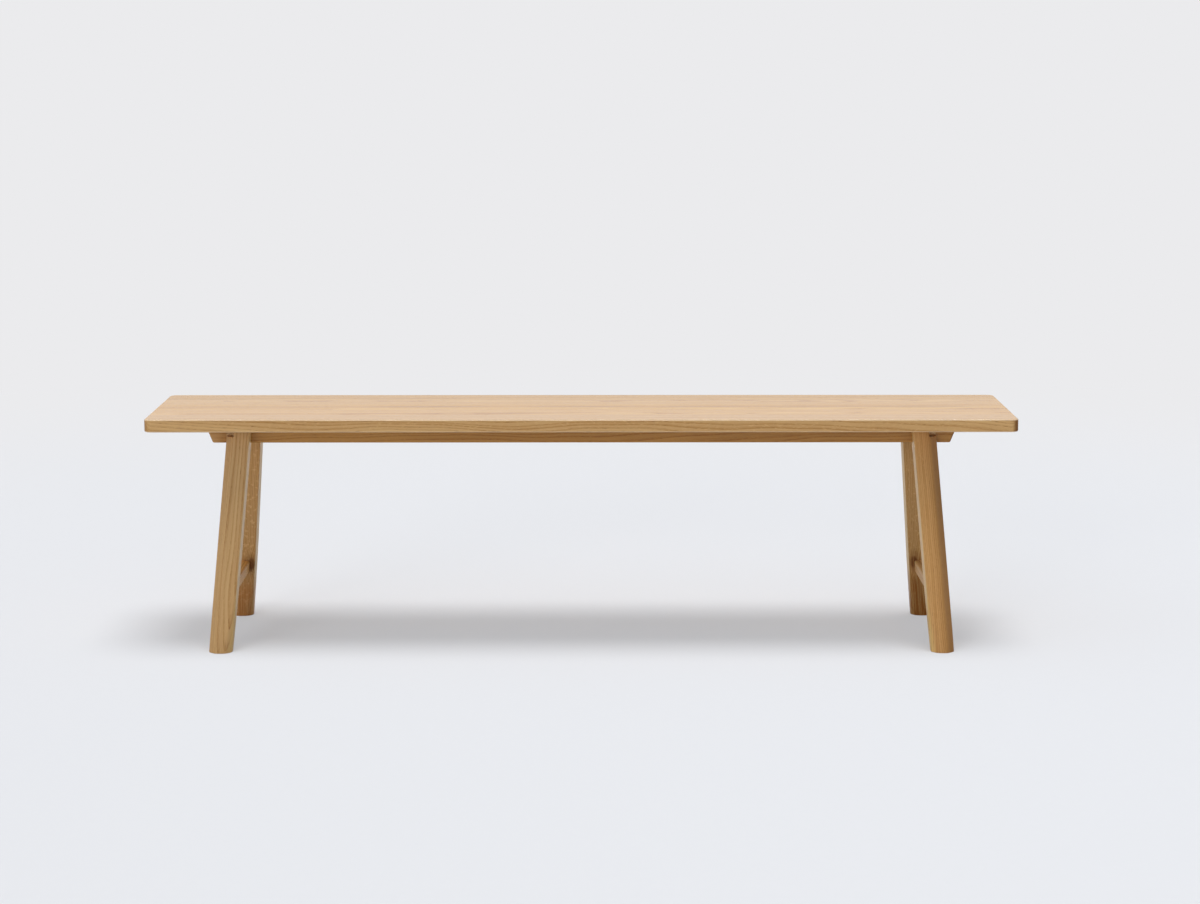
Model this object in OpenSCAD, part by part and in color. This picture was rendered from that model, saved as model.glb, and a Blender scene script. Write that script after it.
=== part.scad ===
// Dining bench in oak: a seat of five glued boards on two long rails, with four splayed legs.
// X runs along the bench, Y from front to back and Z up. The origin is on the floor, under the
// middle of the seat.

/* [Seat] */
// Length of the seat
seat_l = 1660; // [1500:10:2000]
// Depth of the seat, front to back
seat_d = 350; // [320:5:400]
// Height of the seat's top above the floor
seat_h = 450; // [420:5:480]
// Thickness of the seat boards
seat_t = 24; // [22:0.5:32]
// Radius of the seat's corners, seen from above
seat_corner_r = 15; // [6:1:30]
// Radius of the seat's edges
seat_edge_r = 3.5; // [1:0.5:5]

/* [Rails] */
// Height of the rails
rail_h = 32.5; // [32:0.5:45]
// Thickness of the rails
rail_t = 24; // [22:0.5:30]
// Distance from the seat's front edge back to the long rail
rail_setback = 83; // [70:1:95]
// Length of the long rail's top edge beyond the middle of the leg
rail_overhang = 66; // [45:1:100]
// Angle by which the long rail's ends lean inwards towards the bottom
rail_undercut = 22; // [0:1:35]
// Radius of the rails' lower edges
rail_edge_r = 3; // [1:0.5:6]
// Radius of the long rail's lower corners, seen from the front
rail_corner_r = 4; // [1:0.5:8]
// Distance from the middle of the leg's top to the middle of the outer cross rail
cross_rail_gap = 57; // [45:1:150]

/* [Legs] */
// Width of a leg, along the bench
leg_w = 45; // [42:0.5:55]
// Depth of a leg, front to back
leg_d = 45; // [42:0.5:55]
// Width of the facet on each corner that faces the end of the bench
facet_w = 14; // [6:0.5:18]
// Depth of that facet, front to back
facet_d = 14; // [6:0.5:18]
// Radius that softens the two edges of a facet
facet_edge_r = 5; // [1:0.5:8]
// Radius of the two corners that face the middle of the bench
leg_inner_r = 2; // [1:0.5:10]
// Angle by which the legs lean out towards the ends
leg_splay = 4.75; // [0:0.25:8]
// Angle by which the legs lean out towards the front and the back
leg_lean = 9.5; // [4:0.25:12]
// Distance from the seat's end to the middle of the leg's top
leg_end_gap = 172.5; // [150:0.5:300]
// Thickness of the leg in front of the rail, at the seat
cheek_t = 27; // [24:0.5:32]
// Width of the leg's outer part that stops below the seat
shoulder_w = 15; // [10:0.5:17]
// Distance from the seat down to the leg's shoulder
shoulder_drop = 17.5; // [12:0.5:20]
// Diameter of the round foot
foot_d = 46; // [38:0.5:50]
// Height over which the leg turns from round to its full section
foot_round_h = 110; // [60:5:160]
// Width of the eased edge under the foot
foot_ease = 1.2; // [0.6:0.2:4]

/* [Stretchers] */
// Width of a stretcher, along the bench
stretcher_w = 22; // [18:0.5:26]
// Height of a stretcher
stretcher_h = 24; // [18:0.5:34]
// Height of the stretcher's middle above the floor
stretcher_z = 107; // [80:1:200]
// Radius of the stretcher's edges
stretcher_edge_r = 3; // [1:0.5:5]
// Diameter of the stretcher's round tenons
stretcher_tenon_d = 16; // [12:0.5:16]
// Length of the stretcher's round tenons
stretcher_tenon_l = 20; // [14:1:26]

/* [Joints] */
// Clearance all round a glued tenon, an insert or a pin
glue_gap = 0.1; // [0.05:0.05:0.3]
// Thickness of the cross rails' tenons
cross_tenon_t = 10; // [8:0.5:14]
// Height of the cross rails' tenons
cross_tenon_h = 20; // [14:0.5:24]
// Length of the cross rails' tenons
cross_tenon_l = 12; // [8:0.5:16]

/* [Leg bolts] */
// Diameter of a bolt's thread
bolt_d = 6; // [5:0.5:6]
// Length of a bolt under its head
bolt_l = 30; // [26:1:34]
// Diameter of a bolt's head
bolt_head_d = 10; // [9:0.5:10.5]
// Height of a bolt's head
bolt_head_h = 6; // [4:0.5:7]
// Width across the flats of a bolt's socket
bolt_socket = 5; // [4:0.5:6]
// Depth of a bolt's socket
bolt_socket_depth = 3; // [2:0.5:3.5]
// Diameter of a bolt's hole in the rail
bolt_hole_d = 6.6; // [6.4:0.1:7.5]
// Diameter of the pocket for a bolt's head
bolt_pocket_d = 13; // [12.9:0.1:13.5]
// Depth of the pocket for a bolt's head
bolt_pocket_depth = 9; // [8:0.5:11]
// Diameter of a washer
washer_d = 12.5; // [11:0.1:12.7]
// Thickness of a washer
washer_t = 1.6; // [1:0.1:2]
// Diameter of a threaded insert
insert_d = 10; // [9:0.5:11]
// Length of a threaded insert
insert_l = 13; // [10:0.5:15]
// Depth of wood bored out behind an insert
insert_spare = 2; // [1.5:0.5:4]
// Distance along the bench between the two bolts of a leg
bolt_spread_x = 12; // [10:0.5:14]
// Height between the two bolts of a leg
bolt_spread_z = 14; // [12:0.5:16]

/* [Seat screws] */
// Diameter of a screw
screw_d = 4.5; // [4:0.5:5]
// Length of a screw under its head
screw_l = 40; // [36:1:42]
// Diameter of a screw's head
screw_head_d = 9; // [8:0.5:9.5]
// Height of a screw's head
screw_head_h = 3; // [2.5:0.5:4]
// Length of a screw's point
screw_point_l = 9; // [5:0.5:12]
// Width across the flats of a screw's socket
screw_socket = 4; // [3:0.5:5]
// Depth of a screw's socket
screw_socket_depth = 1.5; // [1:0.25:2]
// Diameter of a screw's hole in the rail
screw_hole_d = 5.5; // [5.2:0.1:7]
// Diameter of a screw's pocket in the rail
screw_pocket_d = 10; // [9.6:0.1:12]
// Depth of a screw's pocket in the rail
screw_pocket_depth = 8; // [6:0.5:12]
// Play across the grain in the slots of the back rail and the cross rails
screw_slot = 4; // [2:0.5:6]
// Distance between the screws of a long rail
screw_pitch = 300; // [200:10:340]
// Distance between the two screws of a cross rail
cross_screw_pitch = 100; // [76:2:110]

/* [Foot glides] */
// Diameter of a glide
glide_d = 24; // [18:0.5:30]
// Height of the wood above the floor
glide_stand = 0.5; // [0.25:0.25:3]
// Depth of the pocket that a glide sits in
glide_pocket = 1.5; // [1:0.25:3]
// Diameter of a glide's pin
glide_pin_d = 5; // [3:0.5:8]
// Length of a glide's pin above its pocket
glide_pin_l = 12; // [8:1:20]

/* [Hidden] */
$fn = 64;

// Boards in the seat, screws in a long rail and sides of a socket
BOARDS = 5;
SCREWS_PER_RAIL = 4;
HEX = 6;
// How far a cutter runs past the face that it opens, and the blunt tip of a screw
CUT = 1;

oak = [0.85, 0.74, 0.59];
oak_light = [0.89, 0.78, 0.64];
oak_dark = [0.79, 0.66, 0.50];
steel = [0.66, 0.67, 0.69];
brass = [0.80, 0.66, 0.36];
nylon = [0.16, 0.15, 0.14];

board_w = seat_d / BOARDS;
seat_under = seat_h - seat_t;
rail_bottom = seat_under - rail_h;
rail_middle = seat_under - rail_h / 2;
rail_face_y = seat_d / 2 - rail_setback;
rail_inner_y = rail_face_y - rail_t;

// Middle of a leg where it meets the seat, and where its line meets the floor
leg_top_x = seat_l / 2 - leg_end_gap;
leg_top_y = rail_face_y + cheek_t - leg_d / 2 / cos(leg_lean);
foot_x = leg_top_x + seat_under * tan(leg_splay);
foot_y = leg_top_y + seat_under * tan(leg_lean) / cos(leg_splay);
leg_l = seat_under / cos(leg_splay) / cos(leg_lean) + leg_d;
function leg_x(z) = foot_x - z * tan(leg_splay);
function leg_y(z) = foot_y - z * tan(leg_lean) / cos(leg_splay);

rail_half = leg_top_x + rail_overhang;
cross_rail_x = leg_top_x - cross_rail_gap;
shoulder_z = seat_under - shoulder_drop;

// The leg's inner corners reach this far from its middle line, and the cone that rounds
// the foot widens up to there
leg_corner_reach = norm([leg_w / 2 - leg_inner_r, leg_d / 2 - leg_inner_r]) + leg_inner_r;
foot_cone_slope = (leg_corner_reach - foot_d / 2) / foot_round_h;

bolt_seat_y = rail_t - bolt_pocket_depth;
bolt_hole_l = insert_l + insert_spare;
function bolt_z(i) = rail_middle + (0.5 - i) * bolt_spread_z;
function bolt_x(i) = leg_x(bolt_z(i)) - shoulder_w / 2 + (i - 0.5) * bolt_spread_x;

rail_screw_y = rail_face_y - rail_t / 2;

// Quarter of a disc between the two positive axes
module quarter_disc(r) {
    intersection() {
        circle(r = r);
        square(r);
    }
}

// Rectangle from x = 0 to w, centred on y, with its two corners at x = w rounded
module half_rounded(w, h, r) {
    translate([0, -h / 2]) square([w - r, h]);
    translate([w - r, r - h / 2]) square([r, h - 2 * r]);
    for (flip = [0, 1]) mirror([0, flip]) translate([w - r, h / 2 - r]) quarter_disc(r);
}

// Rectangle centred on both axes with all four corners rounded
module rounded(w, h, r) {
    for (flip = [0, 1]) mirror([flip, 0]) half_rounded(w / 2, h, r);
}

function unit(v) = v / norm(v);

// What rounding takes off a convex corner p, whose edges leave it along the unit vectors u and v
module corner_waste(p, u, v, r) {
    half = acos(u * v) / 2;
    centre = p + unit(u + v) * r / sin(half);
    tangent = r / tan(half);
    difference() {
        polygon([centre, p + tangent * u, p - CUT * (u + v), p + tangent * v]);
        translate(centre) circle(r = r);
    }
}

// Extrusion of an outline in X and Z along Y, centred
module along_y(length) {
    rotate([90, 0, 0]) linear_extrude(height = length, center = true) children();
}

// Extrusion of an outline in Y and Z along X, centred
module along_x(length) {
    rotate([90, 0, 90]) linear_extrude(height = length, center = true) children();
}

// Hole of diameter d and depth h, lengthened along Y by slot
module slotted_hole(d, slot, h) {
    if (slot == 0) cylinder(d = d, h = h);
    if (slot > 0) linear_extrude(height = h) {
        square([d, slot], center = true);
        for (flip = [0, 1]) mirror([0, flip]) translate([0, slot / 2]) {
            quarter_disc(d / 2);
            mirror([1, 0]) quarter_disc(d / 2);
        }
    }
}

// The four legs from the one at the front right
module each_leg() {
    for (left = [0, 1], back = [0, 1]) mirror([left, 0, 0]) mirror([0, back, 0]) children();
}

// The two bolts of the front right leg, from the joint between leg and rail, with +Z into
// the rail
module each_bolt() {
    for (i = [0, 1]) translate([bolt_x(i), -rail_face_y, bolt_z(i)]) rotate([-90, 0, 0]) children();
}

// Screws through the front rail, from their heads' seats upwards
module each_rail_screw() {
    for (i = [0 : SCREWS_PER_RAIL - 1]) {
        x = (i - (SCREWS_PER_RAIL - 1) / 2) * screw_pitch;
        translate([x, -rail_screw_y, rail_bottom + screw_pocket_depth]) children();
    }
}

// Screws through the middle cross rail, from their heads' seats upwards
module each_cross_screw() {
    for (side = [-1, 1]) {
        y = side * cross_screw_pitch / 2;
        translate([0, y, rail_bottom + screw_pocket_depth]) children();
    }
}

// The three places of the cross rails
module each_cross_rail() {
    for (side = [-1 : 1]) translate([side * cross_rail_x, 0, 0]) children();
}

// Every seat screw's place
module each_screw() {
    for (back = [0, 1]) mirror([0, back, 0]) each_rail_screw() children();
    each_cross_rail() each_cross_screw() children();
}

// Holes bored up into the seat for the screws' points
module screw_pilots() {
    each_screw() cylinder(d = screw_d + 2 * glue_gap, h = screw_l + CUT);
}

// Front board: the long edge, the two ends and the two corners are rounded alike
module edge_board() {
    end_l = board_w - seat_corner_r;
    difference() {
        translate([0, -seat_d / 2, seat_h - seat_t / 2]) {
            translate([0, board_w, 0]) along_x(seat_l - 2 * seat_corner_r)
                mirror([1, 0]) half_rounded(board_w, seat_t, seat_edge_r);
            for (left = [0, 1]) mirror([left, 0, 0]) {
                translate([seat_l / 2 - seat_corner_r, seat_corner_r, 0]) {
                    translate([0, end_l / 2, 0]) along_y(end_l)
                        half_rounded(seat_corner_r, seat_t, seat_edge_r);
                    rotate([0, 0, -90]) rotate_extrude(angle = 90)
                        half_rounded(seat_corner_r, seat_t, seat_edge_r);
                }
            }
        }
        screw_pilots();
    }
}

// Inner board, counted from the front board as 0
module inner_board(i) {
    difference() {
        translate([0, (i + 0.5) * board_w - seat_d / 2, seat_h - seat_t / 2])
            along_y(board_w) rounded(seat_l, seat_t, seat_edge_r);
        screw_pilots();
    }
}

module seat_board_front() { color(oak_light) edge_board(); }
module seat_board_front_inner() { color(oak) inner_board(1); }
module seat_board_middle() { color(oak_light) inner_board(2); }
module seat_board_back_inner() { color(oak) inner_board(3); }
module seat_board_back() { color(oak_dark) mirror([0, 1, 0]) edge_board(); }

// Cross-section of every rail, hanging down from its top edge
module rail_section() {
    rotate(-90) half_rounded(rail_h, rail_t, rail_edge_r);
}

// Lower corner of a long rail's right end, seen from the front
rail_corner = [rail_half - rail_h * tan(rail_undercut), -rail_h];

// Front view of a long rail: its ends lean in
module rail_outline() {
    polygon([[-rail_half, 0], [rail_half, 0], rail_corner, [-rail_corner[0], rail_corner[1]]]);
}

// What the rounding takes off the lower corner of a long rail's right end
module rail_corner_waste() {
    up_the_end = [sin(rail_undercut), cos(rail_undercut)];
    corner_waste(rail_corner, [-1, 0], up_the_end, rail_corner_r);
}

// Front rail; the back one has slots for its seat screws, so that the seat can move
module long_rail(slot) {
    difference() {
        intersection() {
            translate([0, -rail_screw_y, seat_under]) along_x(3 * rail_half) rail_section();
            translate([0, -rail_screw_y, seat_under]) along_y(2 * rail_t) rail_outline();
        }
        for (left = [0, 1]) mirror([left, 0, 0])
            translate([0, -rail_screw_y, seat_under]) along_y(2 * rail_t) rail_corner_waste();
        each_cross_rail() cross_mortise();
        for (left = [0, 1]) mirror([left, 0, 0]) each_bolt() {
            translate([0, 0, -CUT]) cylinder(d = bolt_hole_d, h = rail_t);
            translate([0, 0, bolt_seat_y]) cylinder(d = bolt_pocket_d, h = rail_t);
        }
        each_rail_screw() screw_way(slot);
    }
}

// Pocket from below and clearance hole for one seat screw
module screw_way(slot) {
    slotted_hole(screw_hole_d, slot, rail_h);
    translate([0, 0, -rail_h]) slotted_hole(screw_pocket_d, slot, rail_h);
}

// Pocket in the front rail for a cross rail's tenon
module cross_mortise() {
    t = cross_tenon_t + 2 * glue_gap;
    h = cross_tenon_h + 2 * glue_gap;
    depth = cross_tenon_l + glue_gap;
    translate([-t / 2, -rail_inner_y - depth, rail_middle - h / 2]) cube([t, depth + CUT, h]);
}

// Middle cross rail with a tenon at each end
module cross_rail() {
    difference() {
        union() {
            translate([0, 0, seat_under]) along_y(2 * rail_inner_y) rail_section();
            tenons_l = 2 * (rail_inner_y + cross_tenon_l);
            translate([0, 0, rail_middle])
                cube([cross_tenon_t, tenons_l, cross_tenon_h], center = true);
        }
        each_cross_screw() screw_way(screw_slot);
    }
}

module front_rail() { color(oak) long_rail(0); }
module back_rail() { color(oak) mirror([0, 1, 0]) long_rail(screw_slot); }
module left_cross_rail() { color(oak_dark) translate([-cross_rail_x, 0, 0]) cross_rail(); }
module middle_cross_rail() { color(oak_dark) cross_rail(); }
module right_cross_rail() { color(oak_dark) translate([cross_rail_x, 0, 0]) cross_rail(); }

// Frame of the right end: its Z runs up in the plane of the two legs and its X is square to it
module right_end() {
    translate([foot_x, 0, 0]) rotate([0, -leg_splay, 0]) children();
}

// Outer half of a leg's cross-section: a soft-edged facet on each corner
module leg_outer_half() {
    w = leg_w / 2;
    h = leg_d / 2;
    front = [w - facet_w, -h];
    side = [w, facet_d - h];
    along = unit(side - front);
    difference() {
        polygon([[0, -h], front, side, [side[0], -side[1]], [front[0], -front[1]], [0, h]]);
        for (flip = [0, 1]) mirror([0, flip]) {
            corner_waste(front, [-1, 0], along, facet_edge_r);
            corner_waste(side, -along, [0, 1], facet_edge_r);
        }
    }
}

// Straight blank of the front right leg: flat inside, faceted outside, turned at the foot
module leg_blank() {
    right_end() translate([0, -foot_y, 0]) rotate([-leg_lean, 0, 0]) intersection() {
        translate([0, 0, -foot_d]) linear_extrude(height = leg_l + foot_d) {
            leg_outer_half();
            mirror([1, 0]) half_rounded(leg_w / 2, leg_d, leg_inner_r);
        }
        translate([0, 0, -foot_d]) cylinder(
            r1 = foot_d / 2 - foot_d * foot_cone_slope,
            r2 = foot_d / 2 + leg_l * foot_cone_slope,
            h = leg_l + foot_d);
    }
}

// Ring that eases the edge under the foot
module foot_ease_ring() {
    h = 2 * foot_ease;
    translate([leg_x(glide_stand), -leg_y(glide_stand), glide_stand]) difference() {
        translate([0, 0, -CUT]) cylinder(r = foot_d, h = h);
        translate([0, 0, -2 * CUT]) cylinder(
            r1 = foot_d / 2 - foot_ease - 2 * CUT,
            r2 = foot_d / 2 - foot_ease + h,
            h = h + 2 * CUT);
    }
}

// Front right leg, cut to the floor, the seat and the rail
module leg() {
    block = 2 * leg_w + foot_x;
    difference() {
        leg_blank();
        foot_ease_ring();
        translate([0, -block, seat_under]) cube([2 * block, 2 * block, block]);
        translate([0, -block, glide_stand - block]) cube([2 * block, 2 * block, block]);
        translate([0, -rail_face_y, rail_bottom]) cube([2 * block, block, block]);
        intersection() {
            right_end() translate([leg_w / 2 - shoulder_w, -block, 0]) cube([leg_w, block, block]);
            translate([0, -block, shoulder_z]) cube([2 * block, block, block]);
        }
        each_bolt() mirror([0, 0, 1]) translate([0, 0, -CUT])
            cylinder(d = insert_d + 2 * glue_gap, h = bolt_hole_l + CUT);
        stretcher_bore();
        translate([0, 0, -CUT]) glide_solid(glue_gap, CUT);
    }
}

module leg_front_right() { color(oak_light) leg(); }
module leg_front_left() { color(oak_light) mirror([1, 0, 0]) leg(); }
module leg_back_right() { color(oak_light) mirror([0, 1, 0]) leg(); }
module leg_back_left() { color(oak_light) mirror([1, 0, 0]) mirror([0, 1, 0]) leg(); }

// Half the length of a stretcher at height z of the end's own frame, up to the leg's face
function stretcher_half(z) = foot_y - z * tan(leg_lean) - leg_d / 2 / cos(leg_lean);
stretcher_end_z = stretcher_z / cos(leg_splay);

// Round tenons of the right stretcher as one rod, or their bores with the gap added
module stretcher_rod(gap) {
    reach = stretcher_half(stretcher_end_z) + stretcher_tenon_l + gap;
    translate([0, 0, stretcher_end_z]) rotate([90, 0, 0])
        cylinder(d = stretcher_tenon_d + 2 * gap, h = 2 * reach, center = true);
}

// Bore in the leg for the stretcher's tenon
module stretcher_bore() {
    right_end() stretcher_rod(glue_gap);
}

// Right stretcher: its shoulders are sawn to the lean of the legs
module stretcher() {
    low = stretcher_end_z - stretcher_h;
    high = stretcher_end_z + stretcher_h;
    right_end() {
        intersection() {
            translate([0, 0, stretcher_end_z]) along_y(2 * foot_y)
                rounded(stretcher_w, stretcher_h, stretcher_edge_r);
            along_x(2 * stretcher_w) polygon([
                [-stretcher_half(low), low], [stretcher_half(low), low],
                [stretcher_half(high), high], [-stretcher_half(high), high]]);
        }
        stretcher_rod(0);
    }
}

module right_stretcher() { color(oak) stretcher(); }
module left_stretcher() { color(oak) mirror([1, 0, 0]) stretcher(); }

// Hexagonal socket, measured across its flats
module socket(flats, h) {
    cylinder(d = flats / cos(180 / HEX), h = h, $fn = HEX);
}

// Eight cap-head bolts
module leg_bolts() {
    color(steel) each_leg() each_bolt() translate([0, 0, bolt_seat_y + washer_t]) difference() {
        union() {
            cylinder(d = bolt_head_d, h = bolt_head_h);
            translate([0, 0, -bolt_l]) cylinder(d = bolt_d, h = bolt_l + CUT);
        }
        translate([0, 0, bolt_head_h - bolt_socket_depth]) socket(bolt_socket, bolt_head_h);
    }
}

// Eight washers under the bolts' heads
module bolt_washers() {
    color(steel) each_leg() each_bolt() translate([0, 0, bolt_seat_y]) difference() {
        cylinder(d = washer_d, h = washer_t);
        translate([0, 0, -CUT]) cylinder(d = bolt_hole_d, h = washer_t + 2 * CUT);
    }
}

// Eight threaded inserts, flush with the face of the leg that meets the rail
module leg_inserts() {
    color(brass) each_leg() each_bolt() translate([0, 0, -insert_l]) difference() {
        cylinder(d = insert_d, h = insert_l);
        translate([0, 0, -CUT]) cylinder(d = bolt_d + 2 * glue_gap, h = insert_l + 2 * CUT);
    }
}

// Pan-head screws that hold the seat down from below
module seat_screws() {
    shank_l = screw_l - screw_point_l;
    color(steel) each_screw() difference() {
        union() {
            translate([0, 0, -screw_head_h]) cylinder(d = screw_head_d, h = screw_head_h);
            cylinder(d = screw_d, h = shank_l);
            translate([0, 0, shank_l]) cylinder(d1 = screw_d, d2 = CUT, h = screw_point_l);
        }
        translate([0, 0, -2 * screw_head_h]) socket(screw_socket, screw_head_h + screw_socket_depth);
    }
}

// Glide of the front right leg, or its pocket with the gap and the depth added
module glide_solid(gap, extra) {
    translate([leg_x(glide_stand), -leg_y(glide_stand), 0]) {
        cylinder(d = glide_d + 2 * gap, h = glide_stand + glide_pocket + extra);
        cylinder(d = glide_pin_d + 2 * gap, h = glide_stand + glide_pocket + glide_pin_l + extra + gap);
    }
}

module foot_glides() { color(nylon) each_leg() glide_solid(0, 0); }

seat_board_front();
seat_board_front_inner();
seat_board_middle();
seat_board_back_inner();
seat_board_back();
front_rail();
back_rail();
left_cross_rail();
middle_cross_rail();
right_cross_rail();
leg_front_left();
leg_front_right();
leg_back_left();
leg_back_right();
left_stretcher();
right_stretcher();
leg_bolts();
bolt_washers();
leg_inserts();
seat_screws();
foot_glides();
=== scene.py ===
# Dining bench in clear-lacquered oak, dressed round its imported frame. Lengths are in metres.
import math

import bmesh
import bpy
from mathutils import Matrix, Vector


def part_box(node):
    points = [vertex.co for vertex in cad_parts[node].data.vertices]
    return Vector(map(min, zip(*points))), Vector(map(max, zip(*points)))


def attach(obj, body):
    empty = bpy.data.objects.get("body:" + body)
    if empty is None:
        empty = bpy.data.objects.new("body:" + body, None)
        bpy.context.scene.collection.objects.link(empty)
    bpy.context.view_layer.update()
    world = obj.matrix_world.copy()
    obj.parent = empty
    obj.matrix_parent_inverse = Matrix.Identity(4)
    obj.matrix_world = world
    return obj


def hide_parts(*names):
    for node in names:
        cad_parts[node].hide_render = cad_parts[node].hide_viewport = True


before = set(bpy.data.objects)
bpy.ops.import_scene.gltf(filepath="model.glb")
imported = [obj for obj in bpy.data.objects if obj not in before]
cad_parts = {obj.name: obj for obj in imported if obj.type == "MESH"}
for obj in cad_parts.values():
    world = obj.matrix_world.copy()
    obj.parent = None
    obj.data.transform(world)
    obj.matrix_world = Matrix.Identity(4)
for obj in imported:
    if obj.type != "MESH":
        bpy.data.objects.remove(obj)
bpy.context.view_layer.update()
scene = bpy.context.scene
scene.view_settings.view_transform = "Standard"


# View: a long lens in front of the bench, a little above the seat, looking slightly down.
view_data = bpy.data.cameras.new("view")
view_data.sensor_fit = "HORIZONTAL"
view_data.sensor_width = 36
view_data.lens = 81.5
view_data.clip_end = 100
view = bpy.data.objects.new("view", view_data)
view.location = (0.0168, -5.2651, 1.1947)
view.rotation_euler = (math.radians(81.0), 0, math.radians(-0.205))
scene.collection.objects.link(view)
scene.camera = view


# Studio: a pale seamless floor and backdrop of one colour. A broad soft light hangs over the
# bench, a weaker one stands to the left of the camera, and the pale room fills the rest with
# cool light, more from its left side than from its right.
PALE = "#EBEBED"
FILL = "#ECF5FF"
FILL_FROM_LEFT = 0.910
FILL_FROM_RIGHT = 0.089
FLOOR_GLOW = 0.36
GLOW_GROWS_FROM = 1.6
GLOW_FULL_AT = 4.0
FLOOR_RADIUS = 14


def linear(hex_colour):
    """The sRGB hex colour as linear RGB with full alpha."""
    channels = [int(hex_colour[i:i + 2], 16) / 255 for i in (1, 3, 5)]
    return [c / 12.92 if c <= 0.04045 else ((c + 0.055) / 1.055) ** 2.4 for c in channels] + [1]


def add(tree, kind, inputs=None, **settings):
    """A new node with its settings. Each input is set to a value, or fed by a socket or by the
    first output of another node that is in use."""
    family = "GeometryNode" if tree.type == "GEOMETRY" else "ShaderNode"
    made = tree.nodes.new(family + kind)
    for name, value in settings.items():
        setattr(made, name, value)
    for key, value in (inputs or {}).items():
        if isinstance(value, bpy.types.Node):
            value = next(socket for socket in value.outputs if socket.enabled)
        if isinstance(value, bpy.types.NodeSocket):
            tree.links.new(value, made.inputs[key])
        else:
            made.inputs[key].default_value = value
    return made


# Settings of nodes that blend smoothly, and of nodes that mix colours
SMOOTH = {"interpolation_type": "SMOOTHSTEP"}
RGBA = {"data_type": "RGBA"}


def with_nodes(library, name):
    """A new material or world, and its node tree, still empty."""
    made = library.new(name)
    made.use_nodes = True
    made.node_tree.nodes.clear()
    return made, made.node_tree


def new_piece(name, bm, material):
    """An object in the scene that owns the mesh."""
    mesh = bpy.data.meshes.new(name)
    bm.to_mesh(mesh)
    bm.free()
    mesh.materials.append(material)
    piece = bpy.data.objects.new(name, mesh)
    scene.collection.objects.link(piece)
    return piece


def lamp(name, strength, spread, azimuth, height):
    """A far, soft lamp that shines towards the bench; azimuth 0 is the front, 90 the left."""
    data = bpy.data.lights.new(name, "SUN")
    data.energy = strength
    data.angle = math.radians(spread)
    lamp_object = bpy.data.objects.new(name, data)
    lamp_object.rotation_euler = (math.radians(90 - height), 0, math.radians(-azimuth))
    scene.collection.objects.link(lamp_object)


lamp("overhead_lamp", strength=2.44, spread=29, azimuth=-59, height=84.4)
lamp("left_lamp", strength=0.50, spread=26, azimuth=24, height=9)

# The room is pale to the camera and in reflections, and dimmer as the light that it gives
room, tree = with_nodes(bpy.data.worlds, "pale_room")
path = add(tree, "LightPath").outputs
seen = add(tree, "Math", {0: path["Is Camera Ray"], 1: path["Is Glossy Ray"]}, operation="MAXIMUM")
seen = add(tree, "Math", {0: seen, 1: path["Is Transmission Ray"]}, operation="MAXIMUM")
shown_room = add(tree, "Background", {"Color": linear(PALE), "Strength": 1.0})
side = add(tree, "SeparateXYZ", {0: add(tree, "TexCoord").outputs["Generated"]}).outputs["X"]
side = add(tree, "MapRange", {"Value": side, "From Min": -1.0, "From Max": 1.0,
           "To Min": FILL_FROM_LEFT, "To Max": FILL_FROM_RIGHT})
fill = add(tree, "Background", {"Color": linear(FILL), "Strength": side})
both = add(tree, "MixShader", {0: seen, 1: fill, 2: shown_room})
add(tree, "OutputWorld", {"Surface": both})
scene.world = room

# Matt painted floor: it takes the bench's soft shadow, and far out it runs into the backdrop
floor_paint, tree = with_nodes(bpy.data.materials, "matt_painted_floor")
place = add(tree, "TexCoord").outputs["Object"]
far_out = add(tree, "VectorMath", {0: place}, operation="LENGTH")
far_out = add(tree, "MapRange", {"Value": far_out, "From Min": GLOW_GROWS_FROM,
              "From Max": GLOW_FULL_AT, "To Min": FLOOR_GLOW}, **SMOOTH)
path = add(tree, "LightPath").outputs
seen = add(tree, "Math", {0: far_out, 1: path["Is Camera Ray"]}, operation="MULTIPLY")
grit = add(tree, "TexNoise", {"Vector": place, "Scale": 60.0, "Detail": 3.0})
tint = add(tree, "Mix", {"Factor": grit, "A": linear("#DADADC"), "B": linear("#DCDCDE")}, **RGBA)
paint = add(tree, "BsdfDiffuse", {"Color": tint, "Roughness": 1.0})
glow = add(tree, "Emission", {"Color": linear(PALE), "Strength": 1.0})
both = add(tree, "MixShader", {0: seen, 1: paint, 2: glow})
add(tree, "OutputMaterial", {"Surface": both})

bm = bmesh.new()
bmesh.ops.create_circle(bm, cap_ends=True, segments=96, radius=FLOOR_RADIUS)
floor = new_piece("floor", bm, floor_paint)


# Seat: five oak boards, planed, glued edge to edge and sanded flush. The edge all round and the
# four corners are rounded over, and clear satin lacquer goes over everything.
SEAT_LENGTH = 1.660
SEAT_DEPTH = 0.350
SEAT_CORNER = 0.015
SEAT_TOP_ROUNDING = 0.0018
SEAT_LOWER_ROUNDING = 0.0024
# Painted highlight along the seat's top and lower roundings: how strongly each is painted pale
TOP_ARRIS_HIGHLIGHT = 4
LOWER_ARRIS_HIGHLIGHT = 2.4
PAST = 0.001  # how far a cutter runs past the wood that it opens
seat_under, seat_top = [corner.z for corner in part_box("seat_board_front")]

# Real widths in oak. The rays are a tenth as thick, and drawn as coarse as they need to show
RING_WIDTH = 0.0032
EARLY_SHARE = 0.55
PORE_LENGTH = 0.011
PORE_WIDTH = 0.0011
FIBRE_LENGTH = 0.09
FIBRE_WIDTH = 0.0026
RAY_LENGTH = 0.010
RAY_HEIGHT = 0.007
RAY_ANGLE = 0.012
# The trunk bends by BEND, this many times a metre out from its middle and up it. The rings
# shift by YEARS_SHIFT over YEARS_SPAN as years differ, and their tone changes over BAND_WIDTH
BENDS = (9.0, 9.0, 2.2)
BEND = 0.026
YEARS_SPAN = 0.020
YEARS_SHIFT = 0.008
BAND_WIDTH = 0.009
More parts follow.
